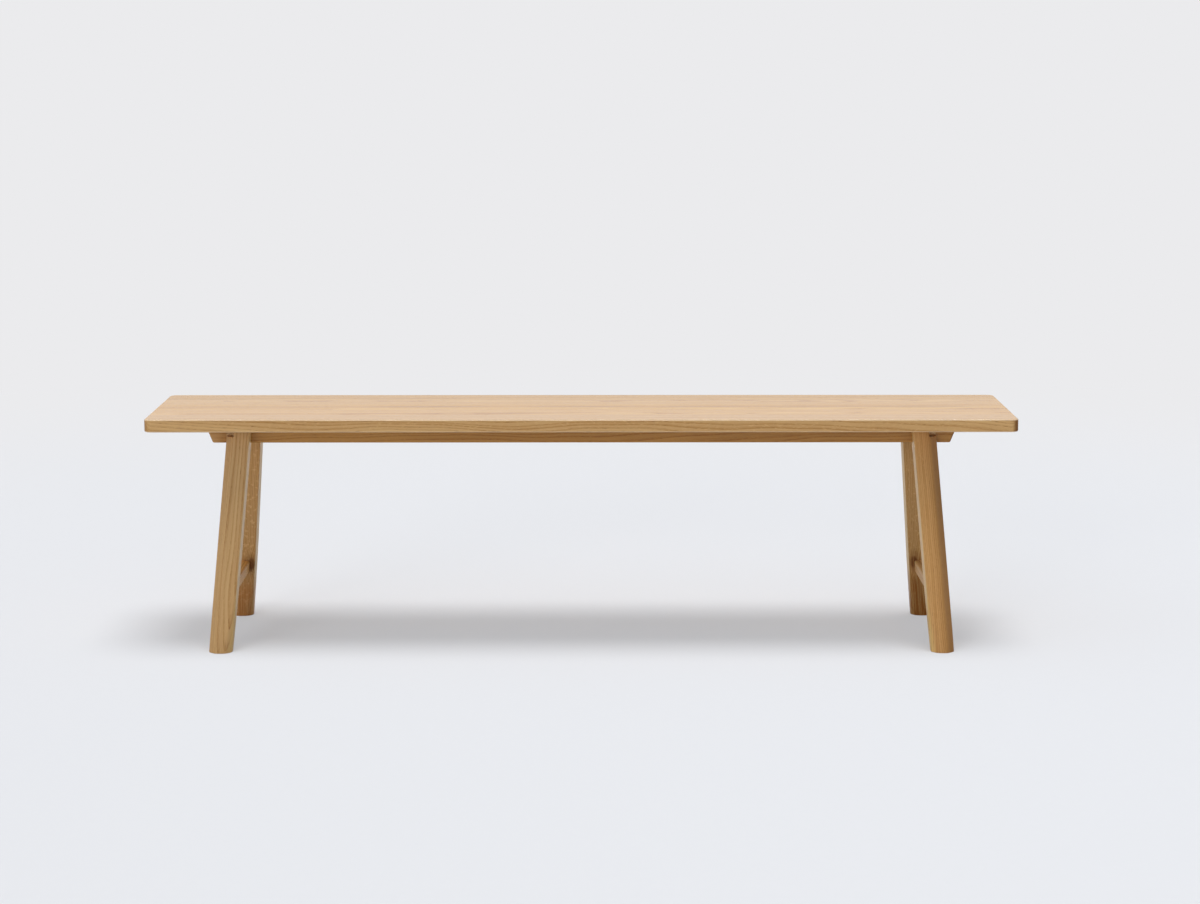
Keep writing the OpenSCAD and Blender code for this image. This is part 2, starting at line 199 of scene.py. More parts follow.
# What early wood and fibres add to the tone, and the tone that the rest starts from
EARLY_TONE = 0.44
FIBRE_TONE = 0.7
FIRST_TONE = -0.445
# Heartwood fades out over these distances outside and inside its radius
HEART_OUTSIDE = 0.021
HEART_INSIDE = 0.005
PORE_DARKNESS = 0.6
# How far the painted arris highlight goes towards its pale colour
ARRIS_HIGHLIGHT_PALENESS = 0.6
FIBRE_DULLNESS = 0.12
ARRIS_DULLNESS = 0.15


def trunk_mapping(middle, along, bark, pith_gap, start):
    """Mapping from the bench to the trunk: Z up the trunk, X from the pith towards the bark."""
    along = Vector(along).normalized()
    bark = Vector(bark) - along * Vector(bark).dot(along)
    bark.normalize()
    turn = Matrix((bark, along.cross(bark), along))
    shift = Vector((pith_gap, 0, start)) - turn @ Vector(middle)
    return {"Location": shift, "Rotation": turn.to_euler()}


def worn_arris(tree, radius, most):
    """How far handling has worn the surface: nothing on the flats, most on a sharp arris."""
    facing = add(tree, "NewGeometry").outputs["Normal"]
    softened = add(tree, "Bevel", {"Radius": radius}, samples=4)
    arris = add(tree, "VectorMath", {0: facing, 1: softened}, operation="DOT_PRODUCT")
    return add(tree, "MapRange", {"Value": arris, "From Min": 0.98, "From Max": 0.80,
               "To Max": most})


def lacquered_oak(node, along, bark, pith_gap, start, light, dark, marks=(), rays=0.5, dull=0.20,
                  lacquer=0.26, heart_and_shade=0.0, painted_light_side=None, painted_arris_highlights=False, root_end=0.45):
    """Oak, sawn, planed, sanded and sprayed with clear satin lacquer: pale brown with darker,
    porous early wood in each ring, short pores, lighter rays, and a soft even sheen."""
    material, tree = with_nodes(bpy.data.materials, "lacquered_oak_" + node)
    coordinates = add(tree, "TexCoord").outputs
    low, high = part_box(node)
    mapping = trunk_mapping((low + high) / 2, along, bark, pith_gap, start)
    trunk = add(tree, "Mapping", {"Vector": coordinates["Object"], **mapping})

    # The rings wander as the trunk leans and swells
    slow = add(tree, "VectorMath", {0: trunk, 1: BENDS}, operation="MULTIPLY")
    wander = add(tree, "TexNoise", {"Vector": slow, "Scale": 1.0, "Detail": 2.0}).outputs["Color"]
    wander = add(tree, "VectorMath", {0: wander, 1: (0.5, 0.5, 0.5)}, operation="SUBTRACT")
    bent = add(tree, "VectorMath", {0: wander, 1: (BEND, BEND, 0.0), 2: trunk},
               operation="MULTIPLY_ADD")

    # Knots, dark streaks and patches of painted light or shade: each has a place on the bench, how
    # far it reaches from it towards
    #  the bark, round the trunk and up it, how far it pushes the rings, its strength and colour
    patches = []
    for spot, reach, push, strength, patch_colour in marks:
        spot = mapping["Rotation"].to_matrix() @ Vector(spot) + mapping["Location"]
        away = add(tree, "VectorMath", {0: trunk, 1: spot}, operation="SUBTRACT")
        away = add(tree, "VectorMath", {0: away, 1: [1 / r for r in reach]}, operation="MULTIPLY")
        away = add(tree, "VectorMath", {0: away}, operation="LENGTH")
        if push:
            pushed = add(tree, "MapRange", {"Value": away, "From Min": 2.4, "From Max": 0.2,
                         "To Max": push}, **SMOOTH)
            pushed = add(tree, "CombineXYZ", {"X": pushed})
            bent = add(tree, "VectorMath", {0: bent, 1: pushed})
        patch = add(tree, "MapRange", {"Value": away, "From Min": 1.2, "From Max": 0.6,
                    "To Max": strength}, **SMOOTH)
        patches.append((patch, patch_colour))
    split = add(tree, "SeparateXYZ", {0: bent}).outputs
    across = add(tree, "VectorMath", {0: bent, 1: (1, 1, 0)}, operation="MULTIPLY")
    radius = add(tree, "VectorMath", {0: across}, operation="LENGTH")

    # Years differ in width and in tone
    years = add(tree, "Math", {0: radius, 1: 1 / YEARS_SPAN}, operation="MULTIPLY")
    years = add(tree, "TexNoise", {"W": years, "Scale": 1.0, "Detail": 2.0}, noise_dimensions="1D")
    grown = add(tree, "Math", {0: years, 1: YEARS_SHIFT, 2: radius}, operation="MULTIPLY_ADD")
    rings = add(tree, "Math", {0: grown, 1: 1 / RING_WIDTH}, operation="MULTIPLY")
    phase = add(tree, "Math", {0: rings}, operation="FRACT")
    early = add(tree, "MapRange", {"Value": phase, "From Max": EARLY_SHARE, "To Min": 1.0,
                "To Max": 0.0}, **SMOOTH)
    band = add(tree, "Math", {0: grown, 1: 1 / BAND_WIDTH}, operation="MULTIPLY")
    band = add(tree, "TexNoise", {"W": band, "Scale": 1.0, "Detail": 3.0, "Roughness": 0.6},
               noise_dimensions="1D")

    # Fibres and pores run up the trunk
    fibre = add(tree, "VectorMath", {0: bent, 1: (1 / FIBRE_WIDTH, 1 / FIBRE_WIDTH,
                1 / FIBRE_LENGTH)}, operation="MULTIPLY")
    fibre = add(tree, "TexNoise", {"Vector": fibre, "Scale": 1.0, "Detail": 3.0, "Roughness": 0.6})
    pore = add(tree, "VectorMath", {0: bent, 1: (1 / PORE_WIDTH, 1 / PORE_WIDTH, 1 / PORE_LENGTH)},
               operation="MULTIPLY")
    pore = add(tree, "TexNoise", {"Vector": pore, "Scale": 1.0, "Detail": 1.0})
    pore = add(tree, "MapRange", {"Value": pore, "From Min": 0.56, "From Max": 0.70}, **SMOOTH)
    pore = add(tree, "Math", {0: pore, 1: early}, operation="MULTIPLY")

    # Rays are thin sheets that stand on the rings
    angle = add(tree, "Math", {0: split["Y"], 1: split["X"]}, operation="ARCTAN2")
    ray = add(tree, "CombineXYZ", {"X": radius, "Y": angle, "Z": split["Z"]})
    ray = add(tree, "VectorMath", {0: ray, 1: (1 / RAY_LENGTH, 1 / RAY_ANGLE, 1 / RAY_HEIGHT)},
              operation="MULTIPLY")
    ray = add(tree, "TexNoise", {"Vector": ray, "Scale": 1.0, "Detail": 1.0})
    ray = add(tree, "MapRange", {"Value": ray, "From Min": 0.55, "From Max": 0.72, "To Max": rays},
              **SMOOTH)

    # Tone, from the light late wood to the darker early wood
    tone = add(tree, "Math", {0: early, 1: EARLY_TONE, 2: FIRST_TONE}, operation="MULTIPLY_ADD")
    tone = add(tree, "Math", {0: band, 1: 1.0, 2: tone}, operation="MULTIPLY_ADD")
    tone = add(tree, "Math", {0: fibre, 1: FIBRE_TONE, 2: tone}, operation="MULTIPLY_ADD",
               use_clamp=True)
    colour = add(tree, "Mix", {"Factor": tone, "A": linear(light), "B": linear(dark)}, **RGBA)
    colour = add(tree, "Mix", {"Factor": ray, "A": colour, "B": linear(light)}, **RGBA)

    # Heartwood, next to the pith, is darker, and one side of a leg is painted lighter: painted
    # light for the bright sheen and side light on it
    # On the front right leg the heartwood lies on the right-facing facet, where it stands in part
    # for painted shade
    if heart_and_shade:
        inside = add(tree, "MapRange", {"Value": radius, "From Min": heart_and_shade + HEART_OUTSIDE,
                     "From Max": heart_and_shade - HEART_INSIDE, "To Max": 0.68}, **SMOOTH)
        colour = add(tree, "Mix", {"Factor": inside, "A": colour, "B": linear("#895C29")}, **RGBA)
    if painted_light_side:
        painted_side_light = add(tree, "VectorMath", {0: coordinates["Normal"], 1: painted_light_side},
                   operation="DOT_PRODUCT")
        painted_side_light = add(tree, "MapRange", {"Value": painted_side_light, "From Min": 0.5, "From Max": 0.9,
                   "To Max": 0.5}, **SMOOTH)
        colour = add(tree, "Mix", {"Factor": painted_side_light, "A": colour, "B": linear("#ECCB86")}, **RGBA)
    if marks:
        patchy = add(tree, "MapRange", {"Value": fibre, "From Min": 0.38, "From Max": 0.58,
                     "To Min": 0.5}, **SMOOTH)
    for patch, patch_colour in patches:
        patch = add(tree, "Math", {0: patchy, 1: patch}, operation="MULTIPLY")
        colour = add(tree, "Mix", {"Factor": patch, "A": colour, "B": linear(patch_colour)}, **RGBA)

    # End grain drinks the lacquer and is duller and darker: in full where the wood was cut
    #  higher up the trunk, and by the share in root_end at its other end. On the legs that share is
    #  small, so the end grain at their heads, the shoulder tops, stays light: painted light in the
    #  shaded notch under the seat
    end = add(tree, "VectorMath", {0: coordinates["Normal"], 1: Vector(along).normalized()},
              operation="DOT_PRODUCT")
    other_end = add(tree, "Math", {0: end, 1: -root_end}, operation="MULTIPLY")
    end = add(tree, "Math", {0: end, 1: other_end}, operation="MAXIMUM")
    end = add(tree, "MapRange", {"Value": end, "From Min": 0.08, "From Max": 0.65, "To Max": 0.85},
              **SMOOTH)
    gloss = add(tree, "Math", {0: end, 1: -lacquer, 2: lacquer}, operation="MULTIPLY_ADD")
    dents = add(tree, "Math", {0: pore, 1: PORE_DARKNESS}, operation="MULTIPLY")
    deep = add(tree, "Math", {0: end, 1: dents}, operation="MAXIMUM")
    colour = add(tree, "Mix", {"Factor": deep, "A": colour, "B": linear("#7A4B20")}, **RGBA)

    # Handling wears the sheen off the arrises and lightens them a little
    arris = worn_arris(tree, radius=0.0015, most=0.35)
    colour = add(tree, "Mix", {"Factor": arris, "A": colour, "B": linear(light)}, **RGBA)
    # Painted highlight: the seat's roundings are painted pale, standing in for the light that
    # catches its arrises
    if painted_arris_highlights:
        arris_highlight = add(tree, "SeparateXYZ", {0: add(tree, "UVMap", uv_map="arris_highlight")})
        arris_highlight = add(tree, "Math", {0: arris_highlight, 1: ARRIS_HIGHLIGHT_PALENESS}, operation="MULTIPLY")
        colour = add(tree, "Mix", {"Factor": arris_highlight, "A": colour, "B": linear("#E8D6BA")}, **RGBA)

    sheen = add(tree, "Math", {0: fibre, 1: FIBRE_DULLNESS, 2: dull - FIBRE_DULLNESS / 2},
                operation="MULTIPLY_ADD")
    sheen = add(tree, "Math", {0: arris, 1: ARRIS_DULLNESS, 2: sheen}, operation="MULTIPLY_ADD")
    relief = add(tree, "Math", {0: pore, 1: -1.0, 2: fibre}, operation="MULTIPLY_ADD")
    relief = add(tree, "Bump", {"Height": relief, "Strength": 0.35, "Distance": 0.0002})
    wood = add(tree, "BsdfPrincipled", {"Base Color": colour, "Roughness": sheen, "IOR": 1.5,
               "Specular IOR Level": gloss, "Normal": relief})
    add(tree, "OutputMaterial", {"Surface": wood})
    return material


def loft(rings, tube=False):
    """Closed mesh through rings of equally many points. It has a face across each end, or as a
    tube it runs back inside from the last ring to the first."""
    bm = bmesh.new()
    loops = [[bm.verts.new(point) for point in ring] for ring in rings]
    if tube:
        loops.append(loops[0])
    for lower, upper in zip(loops, loops[1:]):
        for i, corner in enumerate(lower):
            j = (i + 1) % len(lower)
            bm.faces.new((corner, lower[j], upper[j], upper[i]))
    if not tube:
        bm.faces.new(loops[0])
        bm.faces.new(loops[-1])
    bmesh.ops.recalc_face_normals(bm, faces=bm.faces)
    return bm


def arc(centre, radius, first, last, steps):
    """Points along an arc in the plane, with its angles in degrees."""
    angles = [math.radians(first + (last - first) * i / steps) for i in range(steps + 1)]
    return [(centre[0] + radius * math.cos(a), centre[1] + radius * math.sin(a)) for a in angles]


def rounded_rectangle(width, depth, radius, steps):
    """Outline of a rectangle centred on the origin, with rounded corners."""
    x, y = width / 2 - radius, depth / 2 - radius
    return [point for i, centre in enumerate(((x, y), (-x, y), (-x, -y), (x, -y)))
            for point in arc(centre, radius, 90 * i, 90 * i + 90, steps)]


def rounding(radius, steps):
    """How far a rounded edge stands in at each distance from its face: (inset, distance)."""
    return [(radius - x, radius - y) for x, y in arc((0, 0), radius, 90, 0, steps)]


def saw(bm, place, outward):
    """Saws the mesh along a plane, drops what lies outside it and closes the cut."""
    whole = bm.verts[:] + bm.edges[:] + bm.faces[:]
    cut = bmesh.ops.bisect_plane(bm, geom=whole, plane_co=place, dist=1e-7, plane_no=outward,
                                 clear_outer=True)["geom_cut"]
    edges = [part for part in cut if isinstance(part, bmesh.types.BMEdge)]
    if edges:
        bmesh.ops.contextual_create(bm, geom=edges)


def settle(piece):
    """Makes what the modifiers show the piece's own mesh."""
    shown = piece.evaluated_get(bpy.context.evaluated_depsgraph_get())
    mesh = bpy.data.meshes.new_from_object(shown)
    piece.modifiers.clear()
    piece.data = mesh


def combine(piece, tools, operation):
    """Takes the closed tools out of the piece, or keeps only what it shares with them."""
    for tool in tools:
        step = piece.modifiers.new("cut", "BOOLEAN")
        step.operation = operation
        step.solver = "EXACT"
        step.object = tool
    settle(piece)
    for tool in tools:
        bpy.data.objects.remove(tool)


def cut_away(piece, cutters):
    """Takes the closed meshes in cutters out of the piece."""
    material = piece.data.materials[0]
    combine(piece, [new_piece("cutter", cutter, material) for cutter in cutters], "DIFFERENCE")


def hole(start, end, diameter, play=0.0, steps=24):
    """Cutter for a round hole, lengthened along Y by its play."""
    start, end = Vector(start), Vector(end)
    along = (end - start).normalized()
    across = Vector((1, 0, 0))
    up = along.cross(across)
    outline = arc((0, 0), diameter / 2, 0, 360 - 360 / steps, steps - 1)
    spread = [(a, b + math.copysign(play / 2, b)) for a, b in outline]
    return loft([[centre + across * a + up * b for a, b in spread] for centre in (start, end)])


def finish(piece, node):
    """Smooth shading, and the piece's place in the frame."""
    piece.data.set_sharp_from_angle(angle=math.radians(30))
    for face in piece.data.polygons:
        face.use_smooth = True
    shading = piece.modifiers.new("flat_flats", "WEIGHTED_NORMAL")
    shading.keep_sharp = True
    settle(piece)
    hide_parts(node)
    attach(piece, "root")


def paint_seat_arris_highlights(bm):
    """Marks the middle of the seat's roundings for a painted highlight, in a layer that the oak
    reads.
    """
    layer = bm.loops.layers.uv.new("arris_highlight")
    for face in bm.faces:
        for corner in face.loops:
            z = corner.vert.co.z
            above = min(1, max(0, (seat_top - z) / SEAT_TOP_ROUNDING))
            below = min(1, max(0, (z - seat_under) / SEAT_LOWER_ROUNDING))
            arris_highlight = TOP_ARRIS_HIGHLIGHT * above * (1 - above) + LOWER_ARRIS_HIGHLIGHT * below * (1 - below)
            corner[layer].uv = (arris_highlight, 0)


# Screws hold the seat from below: their places are shared by the boards, rails and cross rails
SCREW_LENGTH = 0.040
SCREW_PITCH = 0.300
SCREW_SEAT = 0.008
CROSS_SCREW_Y = 0.050
PILOT = 0.0047
rail_low, rail_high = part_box("front_rail")
screw_seat = rail_low.z + SCREW_SEAT
rail_screw_y = -(rail_low.y + rail_high.y) / 2
cross_x = sum(corner.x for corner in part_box("right_cross_rail")) / 2
rail_screw_xs = [SCREW_PITCH * (i - 1.5) for i in range(4)]
screw_places = [(x, y) for x in rail_screw_xs for y in (-rail_screw_y, rail_screw_y)]
screw_places += [(x, y) for x in (-cross_x, 0, cross_x) for y in (-CROSS_SCREW_Y, CROSS_SCREW_Y)]

# A dark streak runs along the middle board, stronger and weaker by turns
SEAT_STREAKS = [((x, 0.006, 0.450), (0.020, 0.011, length), 0.0, strength, "#633511")
                for x, length, strength in ((-0.62, 0.20, 0.10), (-0.30, 0.13, 0.30),
                                            (0.00, 0.12, 0.24), (0.24, 0.10, 0.26),
                                            (0.44, 0.12, 0.22), (0.66, 0.12, 0.30))]
# Each board's wood: where its bark lies, how far its pith, where up the trunk it was cut, its
# light and dark tone, which follow the boards in the seat, and its marks
SEAT_BOARDS = {
    "seat_board_front": ((0.0, -0.8, 0.6), 0.105, 0.3, "#D7AE75", "#B28148"),
    "seat_board_front_inner": ((0.0, 0.25, -1.0), 0.085, 2.1, "#DBAD67", "#B48040"),
    "seat_board_middle": ((0.0, 0.4, 1.0), 0.120, 4.4, "#D7A757", "#B17B35", SEAT_STREAKS),
    "seat_board_back_inner": ((0.0, -0.2, -1.0), 0.095, 6.2, "#D7AB66", "#B17E40"),
    "seat_board_back": ((0.0, 0.6, 1.0), 0.110, 8.7, "#CE9F52", "#A97631"),
}
for node, wood in SEAT_BOARDS.items():
    low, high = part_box(node)
    levels = [(inset, seat_under + up) for inset, up in rounding(SEAT_LOWER_ROUNDING, 5)]
    levels += [(inset, seat_top - down) for inset, down in reversed(rounding(SEAT_TOP_ROUNDING, 5))]
    plate = loft([[(x, y, z) for x, y in rounded_rectangle(SEAT_LENGTH - 2 * inset,
                  SEAT_DEPTH - 2 * inset, SEAT_CORNER - inset, 10)] for inset, z in levels])
    # The seat's roundings get a painted highlight
    paint_seat_arris_highlights(plate)
    saw(plate, (0, low.y, 0), (0, -1, 0))
    saw(plate, (0, high.y, 0), (0, 1, 0))
    oak = lacquered_oak(node, (1, 0.012, 0.004), *wood, painted_arris_highlights=True)
    board = new_piece(node + "_oak", plate, oak)
    cut_away(board, [hole((x, y, screw_seat), (x, y, screw_seat + SCREW_LENGTH + PAST), PILOT)
                     for x, y in screw_places if low.y < y < high.y])
    finish(board, node)


# Long rails: two oak bars on edge that carry the seat, their ends sawn in under it. They are
# housed against the legs, bolted to them, and screwed up into the seat from pockets below.
RAIL_UNDERCUT = math.radians(22)
RAIL_CORNER = 0.004
RAIL_ROUNDING = 0.003
POCKET = 0.010
SCREW_HOLE = 0.0055
SLOT_PLAY = 0.004
BOLT_POCKET = 0.013
BOLT_POCKET_DEPTH = 0.009
BOLT_HOLE = 0.0066
TENON_WIDTH = 0.010
TENON_HEIGHT = 0.020
TENON_LENGTH = 0.012
GLUE_GAP = 0.0001
rail_face_y = -rail_low.y
rail_inner_y = -rail_high.y
rail_middle = (rail_low.z + seat_under) / 2


def rail_front_view(inset):
    """Outline of a long rail in X and Z, with its lower edge and ends moved in by inset."""
    rise = rail_low.z + inset
    half = rail_high.x - inset / math.cos(RAIL_UNDERCUT)
    lower_half = half - (seat_under - rise) * math.tan(RAIL_UNDERCUT)
    radius = RAIL_CORNER - inset
    tangent = radius * math.tan((math.pi / 2 - RAIL_UNDERCUT) / 2)
    turned = 90 - math.degrees(RAIL_UNDERCUT)
    corner = arc((lower_half - tangent, rise + radius), radius, -90, -90 + turned, 6)
    right = corner + [(half, seat_under)]
    return right + [(-x, z) for x, z in reversed(right)]


def box_between(low, high):
    """Cutter in the shape of a box with those corners."""
    corners = ((low[0], low[1]), (high[0], low[1]), (high[0], high[1]), (low[0], high[1]))
    return loft([[(x, y, z) for x, y in corners] for z in (low[2], high[2])])


def mortise(x, side):
    """Cutter for the pocket that a cross rail's tenon is glued into."""
    half = TENON_WIDTH / 2 + GLUE_GAP
    rise = TENON_HEIGHT / 2 + GLUE_GAP
    ys = sorted((side * (rail_inner_y - PAST), side * (rail_inner_y + TENON_LENGTH + GLUE_GAP)))
    return box_between((x - half, ys[0], rail_middle - rise), (x + half, ys[1], rail_middle + rise))


def screw_way(x, y, play):
    """Cutters for one seat screw's hole and for the pocket below it."""
    return [hole((x, y, screw_seat - PAST), (x, y, seat_under + PAST), SCREW_HOLE, play),
            hole((x, y, rail_low.z - PAST), (x, y, screw_seat), POCKET, play)]


SPLAY = math.radians(4.75)
LEAN = math.radians(9.5)
GLIDE = 0.024
SHOULDER_WIDTH = 0.015
BOLT_SPREAD_X = 0.012
BOLT_SPREAD_Z = 0.014
glide_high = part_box("foot_glides")[1]
foot = Vector((glide_high.x - GLIDE / 2, -(glide_high.y - GLIDE / 2),
               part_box("leg_front_right")[0].z))


def bolt_place(i):
    """Where a bolt of the front right leg crosses the joint between leg and rail."""
    z = rail_middle + (0.5 - i) * BOLT_SPREAD_Z
    leg_x = foot.x - (z - foot.z) * math.tan(SPLAY)
    return Vector((leg_x - SHOULDER_WIDTH / 2 + (i - 0.5) * BOLT_SPREAD_X, -rail_face_y, z))


# The front rail is paler towards its left end and darker towards its right end, and beside the
#  legs' shoulders it is painted pale: painted light in the shaded gaps under the seat
RAIL_TONES_AND_GAP_LIGHT = [((-0.745, -0.090, 0.410), (0.060, 0.060, 0.055), 0.0, 0.32, "#EBC48A"),
               ((-0.475, -0.090, 0.410), (0.060, 0.060, 0.170), 0.0, 0.13, "#E3B060"),
               ((0.400, -0.090, 0.410), (0.060, 0.060, 0.200), 0.0, 0.10, "#683712"),
               # Painted light: pale patches on the rail in the shaded gaps above the legs'
               # shoulders
               ((-0.673, -0.103, 0.414), (0.022, 0.022, 0.013), 0.0, 0.80, "#F6D7A2"),
               ((0.671, -0.103, 0.414), (0.022, 0.022, 0.012), 0.0, 0.95, "#F6D7A2")]
# Each rail: its side, front or back, the play of its screws, and its wood
RAILS = {
    "front_rail": (-1, 0.0, (0.0, -0.9, 0.5), 0.070, 11.3, "#BA8B4A", "#99662C", RAIL_TONES_AND_GAP_LIGHT),
    "back_rail": (1, SLOT_PLAY, (0.0, 0.8, -0.6), 0.090, 13.9, "#C0904F", "#9E6A2F"),
}
for node, (side, play, *wood) in RAILS.items():
    low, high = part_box(node)
    insets = rounding(RAIL_ROUNDING, 4)
    levels = [(inset, low.y + behind) for inset, behind in insets]
    levels += [(inset, high.y - before) for inset, before in reversed(insets)]
    bar = loft([[(x, y, z) for x, z in rail_front_view(inset)] for inset, y in levels])
    oak = lacquered_oak(node, (1, -0.006, 0.01), *wood)
    rail = new_piece(node + "_oak", bar, oak)
    cutters = [mortise(x, side) for x in (-cross_x, 0, cross_x)]
    for x in rail_screw_xs:
        cutters += screw_way(x, side * rail_screw_y, play)
    for mirror in (-1, 1):
        for i in (0, 1):
            x, z = mirror * bolt_place(i).x, bolt_place(i).z
            face, back = side * (rail_face_y + PAST), side * (rail_inner_y - PAST)
            pocket = side * (rail_inner_y + BOLT_POCKET_DEPTH)
            cutters += [hole((x, face, z), (x, back, z), BOLT_HOLE),
                        hole((x, pocket, z), (x, back, z), BOLT_POCKET)]
    cut_away(rail, cutters)
    finish(rail, node)


# Cross rails: three short oak bars with a glued tenon at each end. They tie the long rails and
# keep the seat flat; slots let the seat swell and shrink on its screws.
NO_STEP = 1e-5  # keeps points apart where the tenon has fewer corners than the bar
CROSS_RAILS = {
    "left_cross_rail": ((0.5, 0.0, 1.0), 0.060, 15.2),
    "middle_cross_rail": ((-0.7, 0.0, 1.0), 0.080, 16.1),
    "right_cross_rail": ((0.9, 0.0, -1.0), 0.070, 17.4),
}
for node, wood in CROSS_RAILS.items():
    low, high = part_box(node)
    x = (low.x + high.x) / 2
    width = high.x - low.x
    corner = arc((width / 2 - RAIL_ROUNDING, low.z + RAIL_ROUNDING), RAIL_ROUNDING, -90, 0, 4)
    right = corner + [(width / 2, seat_under)]
    body = right + [(-a, z) for a, z in reversed(right)]
    edge = [(TENON_WIDTH / 2, rail_middle - TENON_HEIGHT / 2)] * len(corner)
    edge += [(TENON_WIDTH / 2, rail_middle + TENON_HEIGHT / 2)]
    edge = [(a, z + NO_STEP * i) for i, (a, z) in enumerate(edge)]
    tenon = edge + [(-a, z) for a, z in reversed(edge)]
    stations = ((tenon, low.y), (tenon, -rail_inner_y), (body, -rail_inner_y),
                (body, rail_inner_y), (tenon, rail_inner_y), (tenon, high.y))
    bar = loft([[(x + a, y, z) for a, z in outline] for outline, y in stations])
    oak = lacquered_oak(node, (0.01, 1, 0.02), *wood, "#C09357", "#9E6C35")
    cross_rail = new_piece(node + "_oak", bar, oak)
    cut_away(cross_rail, [cutter for side in (-1, 1)
                          for cutter in screw_way(x, side * CROSS_SCREW_Y, SLOT_PLAY)])
    finish(cross_rail, node)


# Legs: straight oak posts that splay and lean. The two outer corners are planed to a facet, the
# foot is turned round, and the head is notched over the rail with a shoulder on its outer side.
LEG_WIDTH = 0.045
FACET_WIDTH = 0.014
FOOT_RADIUS = 0.0232
FOOT_HEIGHT = 0.110
FOOT_STEPS = 22
LEG_POINTS = 176
LEG_HEIGHTS = [0.20, 0.28, 0.36, 0.48]
CORNER_REACH = 0.031
SOFTNESS = 30
SHOULDER_DROP = 0.0175
PAST_SEAT = 0.1
PAST_LEG = 0.2
PAST_BENCH = 0.4
INSERT_BORE = 0.0102
INSERT_DEPTH = 0.015
GLIDE_POCKET = 0.0015
GLIDE_PIN = 0.005
GLIDE_PIN_LENGTH = 0.012
STRETCHER_HEIGHT = 0.107
STRETCHER_TENON = 0.016
STRETCHER_TENON_LENGTH = 0.020
FOOT_EASED = 0.0008
facet_distance = (LEG_WIDTH - FACET_WIDTH) / math.sqrt(2)
leg_flats = [(angle, LEG_WIDTH / 2) for angle in (0, 90, 180, 270)]
leg_flats += [(angle, facet_distance) for angle in (45, -45)]
trestle = (Matrix.Translation((foot.x + foot.z * math.tan(SPLAY), 0, 0))
           @ Matrix.Rotation(-SPLAY, 4, "Y"))
foot_y = -foot.y + foot.z * math.tan(LEAN) / math.cos(SPLAY)
leg_frame = trestle @ Matrix.Translation((0, -foot_y, 0)) @ Matrix.Rotation(-LEAN, 4, "X")
stretcher_rise = STRETCHER_HEIGHT / math.cos(SPLAY)


def leg_reach(angle, foot_limit):
    """From the leg's middle line to its surface. All its flats, and the round foot, share in
    the sum, and the high power lets the nearest rule, softened at the corners as by sanding."""
    total = foot_limit ** -SOFTNESS
    for facing, distance in leg_flats:
        slant = math.cos(angle - math.radians(facing))
        if slant > 0:
            total += (slant / distance) ** SOFTNESS
    return total ** (-1 / SOFTNESS)


def leg_ring(height):
    """The leg's outline at a height along its middle line."""
    limit = FOOT_RADIUS + (CORNER_REACH - FOOT_RADIUS) * height / FOOT_HEIGHT
    angles = [2 * math.pi * i / LEG_POINTS for i in range(LEG_POINTS)]
    outline = [(leg_reach(a, limit), a) for a in angles]
    return [leg_frame @ Vector((r * math.cos(a), r * math.sin(a), height)) for r, a in outline]


def stretcher_shoulder(rise):
    """Half the stretcher's length at a height in the trestle's own frame."""
    return foot_y - rise * math.tan(LEAN) - LEG_WIDTH / 2 / math.cos(LEAN)


def front_right_leg(material):
    """The front right leg, shaped, sawn, notched, eased and bored."""
    heights = [FOOT_HEIGHT * i / FOOT_STEPS for i in range(-5, 30)] + LEG_HEIGHTS
    bm = loft([leg_ring(height) for height in heights])
    saw(bm, (0, 0, foot.z), (0, 0, -1))
    saw(bm, (0, 0, seat_under), (0, 0, 1))
    leg = new_piece("leg", bm, material)
    cut_away(leg, [box_between((foot.x - PAST_LEG, -rail_face_y, rail_low.z),
                               (foot.x + PAST_LEG, PAST_SEAT, seat_under + PAST_SEAT))])
    outer = box_between((LEG_WIDTH / 2 - SHOULDER_WIDTH, -PAST_BENCH, 0), (0.1, PAST_BENCH, 1))
    outer.transform(trestle)
    above = box_between((0, -PAST_BENCH, seat_under - SHOULDER_DROP),
                        (1, PAST_BENCH, seat_under + PAST_SEAT))
    block = new_piece("shoulder", outer, material)
    combine(block, [new_piece("level", above, material)], "INTERSECT")
    combine(leg, [block], "DIFFERENCE")

    # The arrises are sanded to a small round, and the flats stay flat to the eye
    eased = leg.modifiers.new("eased_arrises", "BEVEL")
    eased.width = FOOT_EASED
    eased.segments = 2
    eased.angle_limit = math.radians(40)
    settle(leg)

    reach = stretcher_shoulder(stretcher_rise)
    bore_end = trestle @ Vector((0, -(reach + STRETCHER_TENON_LENGTH + GLUE_GAP), stretcher_rise))
    bore_start = trestle @ Vector((0, -(reach - STRETCHER_TENON_LENGTH), stretcher_rise))
    cutters = [hole(bore_start, bore_end, STRETCHER_TENON + 2 * GLUE_GAP, steps=32)]
    for i in (0, 1):
        place = bolt_place(i)
        cutters.append(hole(place + Vector((0, PAST, 0)), place - Vector((0, INSERT_DEPTH, 0)),
                            INSERT_BORE))
    for diameter, height in ((GLIDE, GLIDE_POCKET + foot.z),
                             (GLIDE_PIN, foot.z + GLIDE_POCKET + GLIDE_PIN_LENGTH + GLUE_GAP)):
        cutters.append(hole((foot.x, foot.y, -PAST), (foot.x, foot.y, height),
                            diameter + 2 * GLUE_GAP))
    cut_away(leg, cutters)
    return leg


